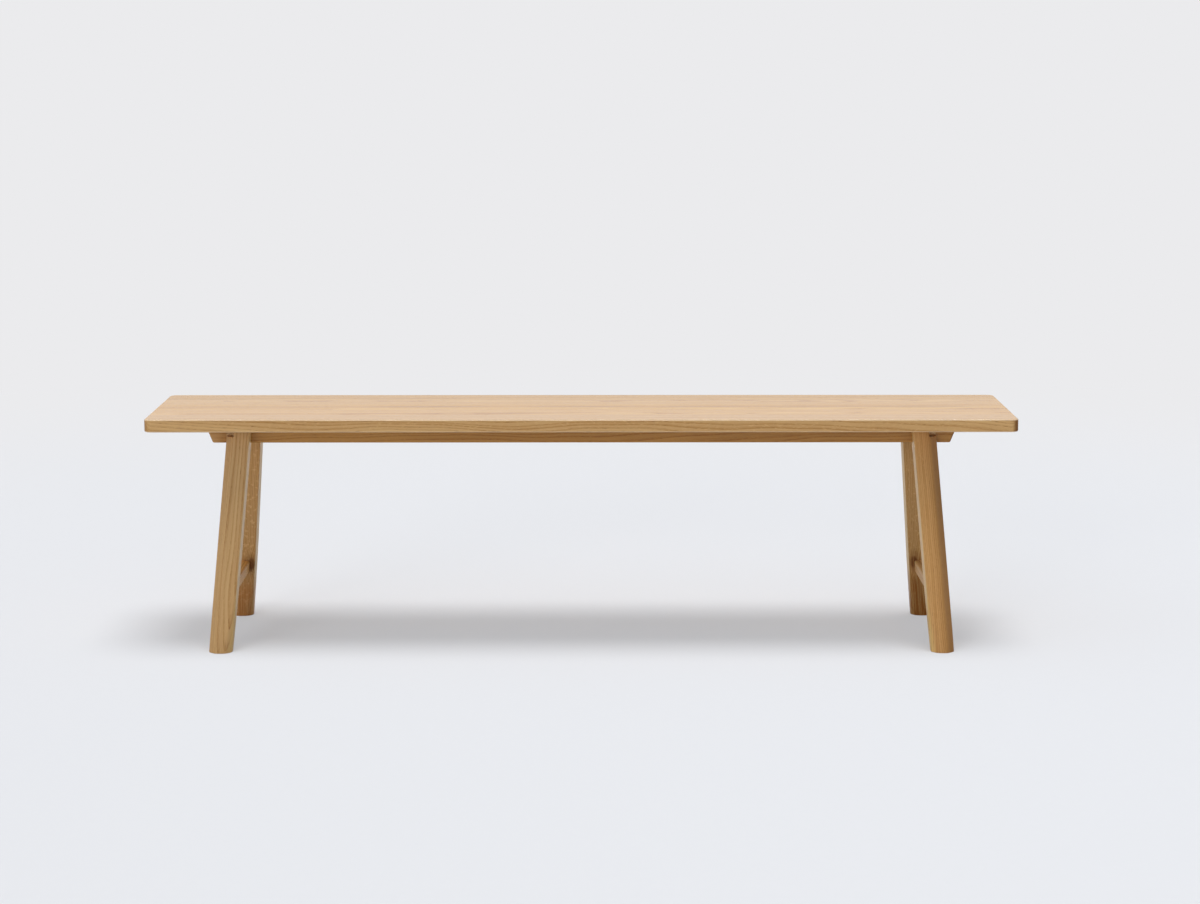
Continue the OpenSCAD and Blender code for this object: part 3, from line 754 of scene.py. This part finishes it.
# The back legs have a dark spot beside the stretcher, partly a knot and partly painted contact
# shadow, and are darker near the foot
LEFT_KNOT_AND_SHADE = [((-0.6690, 0.125, 0.112), (0.0080, 0.011, 0.014), 0.0, 0.75, "#683712"),
             ((-0.6710, 0.125, 0.115), (0.012, 0.014, 0.021), 0.008, 0.35, "#683712"),
             ((-0.6810, 0.125, 0.116), (0.004, 0.006, 0.005), 0.002, 0.50, "#683712"),
             ((-0.6850, 0.165, 0.025), (0.050, 0.050, 0.070), 0.0, 0.50, "#A8580A")]
RIGHT_KNOT_AND_SHADE = [((0.6705, 0.125, 0.116), (0.008, 0.010, 0.013), 0.0, 0.85, "#683712"),
              ((0.6720, 0.125, 0.119), (0.012, 0.014, 0.025), 0.007, 0.40, "#683712"),
              ((0.6840, 0.165, 0.025), (0.060, 0.060, 0.085), 0.0, 0.87, "#864C0A")]
# Each leg: right or left, front or back, how much its rays show, its heartwood, partly painted
# shade on the front right leg, and its wood
LEGS = {
    "leg_front_left": (-1, 1, 0.3, 0.0, (0.3, -1.0, 0.0), 0.075, 20.1, "#CBA672", "#A77A46"),
    "leg_front_right": (1, 1, 0.3, 0.0445, (-1.0, -0.1, 0.0), 0.052, 22.6, "#D0A267", "#AB773F"),
    "leg_back_left": (-1, -1, 0.9, 0.0, (1.0, 0.1, 0.0), 0.080, 25.3, "#D1A770", "#AC7C45",
                      LEFT_KNOT_AND_SHADE),
    "leg_back_right": (1, -1, 0.9, 0.0, (1.0, -0.1, 0.0), 0.085, 28.8, "#C49E68", "#A27440",
                       RIGHT_KNOT_AND_SHADE),
}
for node, (right, front, rays, heart_and_shade, *wood) in LEGS.items():
    along = leg_frame.to_3x3() @ Vector((0, 0, 1))
    along = (-along.x * right, -along.y * front, -along.z)
    # Each leg's inner side is painted lighter, as painted light
    oak = lacquered_oak(node, along, *wood, rays=rays, heart_and_shade=heart_and_shade, dull=0.40, lacquer=0.20,
                        painted_light_side=(-right, 0, 0), root_end=0.1)
    leg = front_right_leg(oak)
    leg.name = node + "_oak"
    leg.data.transform(Matrix.Diagonal((right, front, 1, 1)))
    if right * front < 0:
        leg.data.flip_normals()
    finish(leg, node)


# Stretchers: square oak bars with softened arrises between the two legs of an end, each with a
# round glued tenon. Their shoulders are sawn to the lean of the legs.
STRETCHER_WIDTH = 0.022
STRETCHER_DEPTH = 0.024
STRETCHER_ROUNDING = 0.003
STRETCHERS = {
    "left_stretcher": (-1, (0.6, 0.0, 1.0), 0.070, 31.5, "#EEBC74", "#C58B48"),
    "right_stretcher": (1, (-0.4, 0.0, 1.0), 0.065, 33.2, "#DEB57C", "#B7854D"),
}
for node, (side, *wood) in STRETCHERS.items():
    bar = rounded_rectangle(STRETCHER_WIDTH, STRETCHER_DEPTH, STRETCHER_ROUNDING, 5)
    turns = [math.atan2(z, x) for x, z in bar]
    rod = [(STRETCHER_TENON / 2 * math.cos(a), STRETCHER_TENON / 2 * math.sin(a)) for a in turns]
    tenon_end = stretcher_shoulder(stretcher_rise) + STRETCHER_TENON_LENGTH
    stations = []
    for end in (-1, 1):
        outer = [[(x, end * tenon_end, stretcher_rise + z) for x, z in rod]]
        outer += [[(x, end * stretcher_shoulder(stretcher_rise + z), stretcher_rise + z)
                   for x, z in outline] for outline in (rod, bar)]
        stations += outer[::-end]
    shaft = loft([[trestle @ Vector(point) for point in ring] for ring in stations])
    oak = lacquered_oak(node, (0.0, 1, 0.0), *wood, dull=0.45, lacquer=0.08)
    stretcher = new_piece(node + "_oak", shaft, oak)
    if side < 0:
        stretcher.data.transform(Matrix.Diagonal((-1, 1, 1, 1)))
        stretcher.data.flip_normals()
    finish(stretcher, node)


# Leg bolts: two cap-head bolts a leg, cold-formed in steel and zinc plated, driven with a hexagon
# key. Each runs from a pocket inside the rail, through washer and rail, into the leg's insert.
BOLT_DIAMETER = 0.006
BOLT_LENGTH = 0.030
BOLT_PITCH = 0.001
BOLT_THREAD = 0.0006
BOLT_PLAIN = 0.010
BOLT_HEAD = 0.010
BOLT_HEAD_HEIGHT = 0.006
BOLT_SOCKET = 0.005
BOLT_SOCKET_DEPTH = 0.003
BOLT_TIP = 0.0020
BOLT_SOCKET_MOUTH = 0.0031
CHAMFER = 0.0003
WASHER_THICKNESS = 0.0016
STEPS_PER_TURN = 6
washer_seat_y = -rail_inner_y - BOLT_POCKET_DEPTH


def zinc_plated_steel(name):
    """Zinc-plated steel, passivated clear: satin grey metal, faintly clouded with blue and straw,
    its plating rubbed bright on the arrises."""
    material, tree = with_nodes(bpy.data.materials, name)
    place = add(tree, "TexCoord").outputs["Object"]
    # Clouds of 4 mm, and the plating's crystals, 0.05 mm across and drawn at 0.3 mm to show
    cloud = add(tree, "TexNoise", {"Vector": place, "Scale": 1 / 0.004, "Detail": 2.0})
    crystal = add(tree, "TexNoise", {"Vector": place, "Scale": 1 / 0.0003, "Detail": 1.0})
    tint = add(tree, "MapRange", {"Value": cloud, "From Min": 0.35, "From Max": 0.65}, **SMOOTH)
    colour = add(tree, "Mix", {"Factor": tint, "A": linear("#AAB0B8"), "B": linear("#BDBBAF")},
                 **RGBA)
    arris = worn_arris(tree, radius=0.0003, most=0.7)
    colour = add(tree, "Mix", {"Factor": arris, "A": colour, "B": linear("#D3D6D9")}, **RGBA)
    dull = add(tree, "Math", {0: crystal, 1: 0.22, 2: 0.24}, operation="MULTIPLY_ADD")
    relief = add(tree, "Bump", {"Height": crystal, "Strength": 0.3, "Distance": 0.00003})
    metal = add(tree, "BsdfPrincipled", {"Base Color": colour, "Metallic": 1.0, "Roughness": dull,
                "Normal": relief})
    add(tree, "OutputMaterial", {"Surface": metal})
    return material


def turned_ring(height, reach, points):
    """Points round Z at a height; reach is the radius, or gives it at an angle and height."""
    angles = [2 * math.pi * i / points for i in range(points)]
    radii = [reach(a, height) if callable(reach) else reach for a in angles]
    return [(r * math.cos(a), r * math.sin(a), height) for r, a in zip(radii, angles)]


def hexagon(flats):
    """Reach of a hexagon with that distance between its flats."""
    return lambda angle, height: flats / 2 / math.cos(angle % (math.pi / 3) - math.pi / 6)


def thread(crest, depth, pitch):
    """Reach of a right-hand screw thread."""
    def reach(angle, height):
        turn = (height / pitch - angle / (2 * math.pi)) % 1
        return crest - depth * min(1, max(0, 3 * abs(turn - 0.5) - 0.25))
    return reach


def threaded(start, end, pitch, reach):
    """Rings along a thread, several to each turn."""
    steps = round(abs(end - start) / pitch * STEPS_PER_TURN)
    return [(start + (end - start) * i / steps, reach) for i in range(steps + 1)]


def turned(rings, tube=False, points=24):
    """Closed mesh round Z through (height, reach) rings, bored through where it is a tube."""
    return loft([turned_ring(height, reach, points) for height, reach in rings], tube)


def repeated(name, shape, rows, turn, material):
    """One piece of like parts, placed by Geometry Nodes: the rows are of the front right, and
    come again mirrored on the left, and turned half round to the back."""
    piece = new_piece(name, shape, material)
    tree = bpy.data.node_groups.new("rows_of_" + name, "GeometryNodeTree")
    tree.interface.new_socket("Geometry", in_out="OUTPUT", socket_type="NodeSocketGeometry")
    wanted = [("Geometry", "Geometry", None), ("Turn", "Vector", turn),
              ("Finish", "Material", material)]
    for i, (count, start, step) in enumerate(rows):
        wanted += [("Count %d" % i, "Int", count),
                   ("Start %d" % i, "Vector", [float(v) for v in start]),
                   ("Step %d" % i, "Vector", [float(v) for v in step])]
    settings = {}
    for label, kind, value in wanted:
        socket = tree.interface.new_socket(label, in_out="INPUT", socket_type="NodeSocket" + kind)
        if value is not None:
            settings[socket.identifier] = value
    given = tree.nodes.new("NodeGroupInput").outputs
    right = add(tree, "JoinGeometry")
    for i in range(len(rows)):
        line = add(tree, "MeshLine", {"Count": given["Count %d" % i],
                   "Start Location": given["Start %d" % i], "Offset": given["Step %d" % i]},
                   mode="OFFSET")
        tree.links.new(line.outputs[0], right.inputs[0])
    left = add(tree, "Transform", {"Geometry": right, "Scale": (-1, 1, 1)})
    front = add(tree, "JoinGeometry", {"Geometry": right})
    tree.links.new(left.outputs[0], front.inputs[0])
    places = add(tree, "MergeByDistance", {"Geometry": front, "Distance": 0.001})
    parts = add(tree, "InstanceOnPoints", {"Points": places, "Instance": given["Geometry"],
                "Rotation": given["Turn"]})
    behind = add(tree, "Transform", {"Geometry": parts, "Rotation": (0, 0, math.pi)})
    every = add(tree, "JoinGeometry", {"Geometry": parts})
    tree.links.new(behind.outputs[0], every.inputs[0])
    solid = add(tree, "RealizeInstances", {"Geometry": every})
    solid = add(tree, "SetMaterial", {"Geometry": solid, "Material": given["Finish"]})
    tree.links.new(solid.outputs[0], tree.nodes.new("NodeGroupOutput").inputs["Geometry"])
    rows_of = piece.modifiers.new("rows", "NODES")
    rows_of.node_group = tree
    for identifier, value in settings.items():
        rows_of[identifier] = value
    settle(piece)
    return piece


def bolt_row(y):
    """The two bolts of the front right leg, at a depth: count, start and step."""
    start, end = bolt_place(0), bolt_place(1)
    return 2, (start.x, y, start.z), tuple(end - start)


INTO_RAIL = (-math.pi / 2, 0.0, 0.0)
UPRIGHT = (0.0, 0.0, 0.0)
shank = BOLT_DIAMETER / 2
head = BOLT_HEAD / 2
socket_floor = BOLT_HEAD_HEIGHT - BOLT_SOCKET_DEPTH
bolt_rings = [(-BOLT_LENGTH, BOLT_TIP - 0.0002), (-BOLT_LENGTH, BOLT_TIP)]
bolt_rings += threaded(-BOLT_LENGTH + 0.0008, -BOLT_PLAIN, BOLT_PITCH,
                       thread(shank, BOLT_THREAD, BOLT_PITCH))
bolt_rings += [(-BOLT_PLAIN + 0.0004, shank), (-CHAMFER, shank), (0, shank + CHAMFER),
               (0, head - CHAMFER), (CHAMFER, head), (BOLT_HEAD_HEIGHT - 2 * CHAMFER, head),
               (BOLT_HEAD_HEIGHT - 0.0002, head - CHAMFER), (BOLT_HEAD_HEIGHT, head - 0.0007),
               (BOLT_HEAD_HEIGHT, BOLT_SOCKET_MOUTH),
               (BOLT_HEAD_HEIGHT - CHAMFER, hexagon(BOLT_SOCKET)),
               (socket_floor + 0.0008, hexagon(BOLT_SOCKET)), (socket_floor, 0.0004)]
bolts = repeated("leg_bolts_zinc_plated", turned(bolt_rings),
                 [bolt_row(washer_seat_y + WASHER_THICKNESS)], INTO_RAIL,
                 zinc_plated_steel("zinc_plated_steel_bolts"))
finish(bolts, "leg_bolts")


# Washers: punched from steel sheet and zinc plated, so one face is slightly rolled over and the
# other is sharp. One spreads the load of each bolt's head on the wood.
WASHER = 0.0125
WASHER_ROLL = 0.0004
WASHER_BURR = 0.0001
washer_hole = BOLT_HOLE / 2
washer_rings = [(WASHER_BURR, washer_hole), (0, washer_hole + WASHER_BURR),
                (0, WASHER / 2 - WASHER_BURR), (WASHER_BURR, WASHER / 2)]
washer_rings += [(WASHER_THICKNESS - down, WASHER / 2 - inset)
                 for inset, down in reversed(rounding(WASHER_ROLL, 4))]
washer_rings += [(WASHER_THICKNESS - down, washer_hole + inset)
                 for inset, down in rounding(WASHER_ROLL / 2, 3)]
washers = repeated("bolt_washers_zinc_plated", turned(washer_rings, tube=True),
                   [bolt_row(washer_seat_y)], INTO_RAIL,
                   zinc_plated_steel("zinc_plated_steel_washers"))
finish(washers, "bolt_washers")


# Inserts: turned from brass bar, with a sharp coarse thread outside that cuts into the oak, a
# bolt's thread inside, and a hexagon recess to drive them flush with the leg.
INSERT = 0.010
INSERT_LENGTH = 0.013
INSERT_PITCH = 0.0025
INSERT_THREAD = 0.0010
INSERT_INNER_THREAD = 0.0004
INSERT_RECESS = 0.0070
INSERT_RECESS_DEPTH = 0.0030
INSERT_END = 0.0038
INSERT_RIM = 0.0042


def turned_brass(name):
    """Free-cutting brass, turned: warm yellow metal with fine lathe lines round its axis, and
    slightly browned by handling."""
    material, tree = with_nodes(bpy.data.materials, name)
    place = add(tree, "TexCoord").outputs["Object"]
    # Lathe lines lie 0.1 mm apart along Y, the axis, and are drawn at 0.25 mm to show
    lines = add(tree, "VectorMath", {0: place, 1: (40.0, 1 / 0.00025, 40.0)}, operation="MULTIPLY")
    lines = add(tree, "TexNoise", {"Vector": lines, "Scale": 1.0, "Detail": 1.0})
    patch = add(tree, "TexNoise", {"Vector": place, "Scale": 1 / 0.003, "Detail": 3.0})
    patch = add(tree, "MapRange", {"Value": patch, "From Min": 0.45, "From Max": 0.75}, **SMOOTH)
    colour = add(tree, "Mix", {"Factor": patch, "A": linear("#CCA85C"), "B": linear("#A8803F")},
                 **RGBA)
    dull = add(tree, "Math", {0: lines, 1: 0.2, 2: 0.18}, operation="MULTIPLY_ADD")
    dull = add(tree, "Math", {0: patch, 1: 0.2, 2: dull}, operation="MULTIPLY_ADD")
    relief = add(tree, "Bump", {"Height": lines, "Strength": 0.3, "Distance": 0.00004})
    metal = add(tree, "BsdfPrincipled", {"Base Color": colour, "Metallic": 1.0, "Roughness": dull,
                "Normal": relief})
    add(tree, "OutputMaterial", {"Surface": metal})
    return material


insert_bore = BOLT_DIAMETER / 2 + GLUE_GAP
insert_rings = [(-INSERT_LENGTH, insert_bore + 0.0002), (-INSERT_LENGTH, INSERT_END)]
insert_rings += threaded(-INSERT_LENGTH + 0.0005, -0.0005, INSERT_PITCH,
                         thread(INSERT / 2, INSERT_THREAD, INSERT_PITCH))
insert_rings += [(0, INSERT_RIM), (0, INSERT_RECESS / 2 + 2 * CHAMFER),
                 (-CHAMFER, hexagon(INSERT_RECESS)),
                 (-INSERT_RECESS_DEPTH, hexagon(INSERT_RECESS)),
                 (-INSERT_RECESS_DEPTH - 0.0002, insert_bore)]
insert_rings += threaded(-INSERT_RECESS_DEPTH - 0.0010, -INSERT_LENGTH + 0.0006, BOLT_PITCH,
                         thread(insert_bore + INSERT_INNER_THREAD, INSERT_INNER_THREAD, BOLT_PITCH))
inserts = repeated("leg_inserts_turned_brass", turned(insert_rings, tube=True),
                   [bolt_row(-rail_face_y)], INTO_RAIL, turned_brass("turned_brass_inserts"))
finish(inserts, "leg_inserts")


# Seat screws: fourteen pan-head wood screws with a hexagon socket, rolled in steel and zinc
# plated. They are driven up through the rails and cross rails into pilot holes in the seat.
SCREW_DIAMETER = 0.0045
SCREW_THREAD_PITCH = 0.0020
SCREW_PLAIN = 0.012
SCREW_PLAIN_RADIUS = 0.0017
SCREW_POINT = 0.009
SCREW_TIP = 0.0005
SCREW_THREAD_SHARE = 0.32
SCREW_HEAD = 0.009
SCREW_HEAD_HEIGHT = 0.003
SCREW_HEAD_ROUNDING = 0.0018
SCREW_SOCKET_MOUTH = 0.0025
SCREW_SOCKET = 0.004
SCREW_SOCKET_DEPTH = 0.0015


def screw_reach(angle, height):
    """Reach of the seat screw's thread, which narrows along its point."""
    left = min(1.0, (SCREW_LENGTH - height) / SCREW_POINT)
    crest = SCREW_TIP + (SCREW_DIAMETER / 2 - SCREW_TIP) * left
    return thread(crest, SCREW_THREAD_SHARE * crest, SCREW_THREAD_PITCH)(angle, height)


crown = SCREW_HEAD / 2
socket_floor = -SCREW_HEAD_HEIGHT + SCREW_SOCKET_DEPTH
screw_rings = [(socket_floor, CHAMFER), (socket_floor - CHAMFER, hexagon(SCREW_SOCKET)),
               (-SCREW_HEAD_HEIGHT + 0.0002, hexagon(SCREW_SOCKET)),
               (-SCREW_HEAD_HEIGHT, SCREW_SOCKET_MOUTH)]
screw_rings += [(-SCREW_HEAD_HEIGHT + rise, crown - inset)
                for inset, rise in rounding(SCREW_HEAD_ROUNDING, 6)]
screw_rings += [(-0.0002, crown), (0, crown - 0.0002), (0, SCREW_PLAIN_RADIUS + CHAMFER),
                (CHAMFER, SCREW_PLAIN_RADIUS), (SCREW_PLAIN, SCREW_PLAIN_RADIUS)]
screw_rings += threaded(SCREW_PLAIN + CHAMFER, SCREW_LENGTH - 0.0004, SCREW_THREAD_PITCH,
                        screw_reach)
screw_rings += [(SCREW_LENGTH, 0.0002)]
screw_rows = [(2, (rail_screw_xs[2], -rail_screw_y, screw_seat), (SCREW_PITCH, 0, 0)),
              (1, (cross_x, -CROSS_SCREW_Y, screw_seat), (0, 0, 0)),
              (1, (0, -CROSS_SCREW_Y, screw_seat), (0, 0, 0))]
screws = repeated("seat_screws_zinc_plated", turned(screw_rings), screw_rows, UPRIGHT,
                  zinc_plated_steel("zinc_plated_steel_screws"))
finish(screws, "seat_screws")


# Foot glides: one nylon moulding a leg, a thin round pad that stands just proud of the foot and
# a ribbed pin that is pressed into the end grain.
GLIDE_THICKNESS = 0.0020
GLIDE_ROUNDING = 0.0004
GLIDE_GATE = 0.0015
GLIDE_RIBS = 7
RIB_PITCH = 0.0015
RIB_DEPTH = 0.0004
GLIDE_PIN_TIP = 0.0012


def moulded_nylon(name):
    """Nylon, moulded: near-black brown plastic with a fine spark-eroded skin, dull, and rubbed
    paler where it meets the floor and at its rim."""
    material, tree = with_nodes(bpy.data.materials, name)
    coordinates = add(tree, "TexCoord").outputs
    place = coordinates["Object"]
    # The skin's pits are 0.05 mm across and drawn at 0.4 mm to show; scuffs are 6 by 0.5 mm
    skin = add(tree, "TexNoise", {"Vector": place, "Scale": 1 / 0.0004, "Detail": 2.0})
    scuff = add(tree, "VectorMath", {0: place, 1: (1 / 0.006, 1 / 0.0005, 1 / 0.006)},
                operation="MULTIPLY")
    scuff = add(tree, "TexNoise", {"Vector": scuff, "Scale": 1.0, "Detail": 2.0})
    under = add(tree, "SeparateXYZ", {0: coordinates["Normal"]}).outputs["Z"]
    under = add(tree, "MapRange", {"Value": under, "From Min": -0.3, "From Max": -0.9})
    scuff = add(tree, "MapRange", {"Value": scuff, "From Min": 0.55, "From Max": 0.72,
                "To Max": 0.6}, **SMOOTH)
    scuff = add(tree, "Math", {0: scuff, 1: under}, operation="MULTIPLY")
    colour = add(tree, "Mix", {"Factor": skin, "A": linear("#242120"), "B": linear("#2F2C2A")},
                 **RGBA)
    colour = add(tree, "Mix", {"Factor": scuff, "A": colour, "B": linear("#5B5651")}, **RGBA)
    dull = add(tree, "Math", {0: skin, 1: 0.2, 2: 0.42}, operation="MULTIPLY_ADD")
    relief = add(tree, "Bump", {"Height": skin, "Strength": 0.4, "Distance": 0.00006})
    plastic = add(tree, "BsdfPrincipled", {"Base Color": colour, "Roughness": dull, "IOR": 1.53,
                  "Normal": relief})
    add(tree, "OutputMaterial", {"Surface": plastic})
    return material


glide_rings = [(CHAMFER, 0.0004), (CHAMFER, GLIDE_GATE - CHAMFER), (0, GLIDE_GATE)]
glide_rings += [(rise, GLIDE / 2 - inset) for inset, rise in rounding(GLIDE_ROUNDING, 4)]
glide_rings += [(GLIDE_THICKNESS - 0.0001, GLIDE / 2), (GLIDE_THICKNESS, GLIDE / 2 - 0.0001),
                (GLIDE_THICKNESS, GLIDE_PIN / 2)]
for rib in range(GLIDE_RIBS):
    rib_foot = GLIDE_THICKNESS + RIB_DEPTH + RIB_PITCH * rib
    glide_rings += [(rib_foot, GLIDE_PIN / 2 - RIB_DEPTH), (rib_foot + CHAMFER, GLIDE_PIN / 2),
                    (rib_foot + RIB_PITCH - 0.0001, GLIDE_PIN / 2 - RIB_DEPTH)]
glide_rings += [(GLIDE_THICKNESS + GLIDE_PIN_LENGTH, GLIDE_PIN_TIP)]
glides = repeated("foot_glides_moulded_nylon", turned(glide_rings, points=48),
                  [(1, (foot.x, foot.y, 0.0), (0, 0, 0))], UPRIGHT,
                  moulded_nylon("moulded_nylon_glides"))
finish(glides, "foot_glides")
